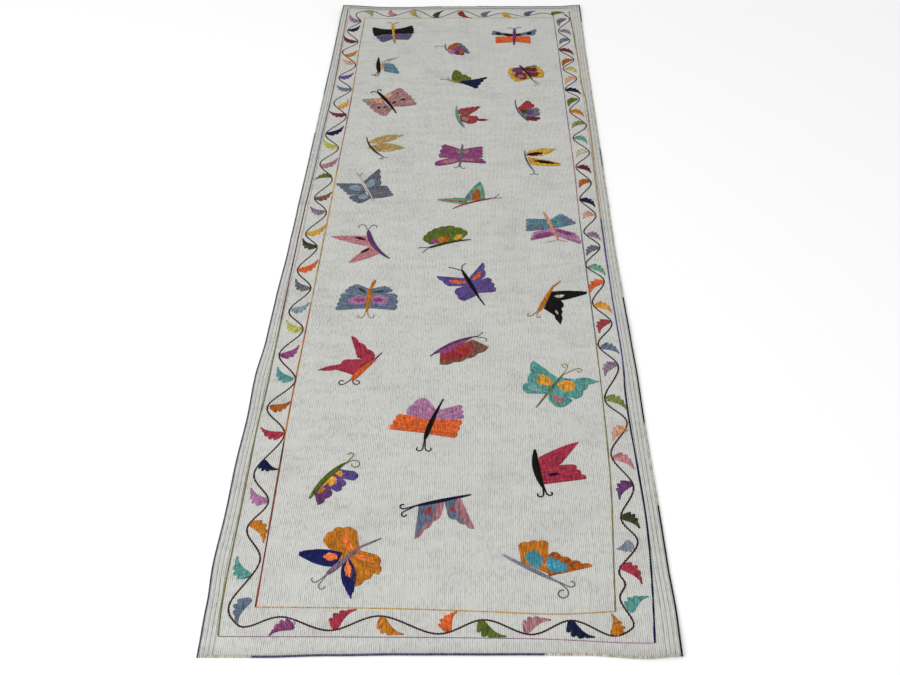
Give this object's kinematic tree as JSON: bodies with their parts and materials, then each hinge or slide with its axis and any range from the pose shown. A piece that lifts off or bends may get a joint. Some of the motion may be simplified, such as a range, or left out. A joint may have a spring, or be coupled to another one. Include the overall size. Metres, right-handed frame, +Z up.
{
  "type": "embroidered rug runner",
  "caption": "Flat rectangular woven cotton runner rug with whipped edges, embroidered butterflies in the field and a leafy vine border.",
  "frame": {"origin": "on the floor under the middle of the runner, at the middle of its outer box", "axes": "+X across the runner to the right of the picture, +Y along it, away from the viewer, +Z up from the floor"},
  "size_m": [0.824, 2.44, 0.0131],
  "materials": {
    "ground_weave": "off-white handspun cotton, ribbed flatweave, matte",
    "edging_yarn": "dark violet and navy wool yarn, whipped over the edge",
    "embroidery_yarn": "dyed wool yarn in many colours, satin stitch and stem stitch, soft sheen"
  },
  "bodies": {
    "root": {"ground_cloth": "ground_weave", "edging_left": "edging_yarn", "edging_right": "edging_yarn", "edging_near": "edging_yarn", "edging_far": "edging_yarn"}
  },
  "joints": []
}
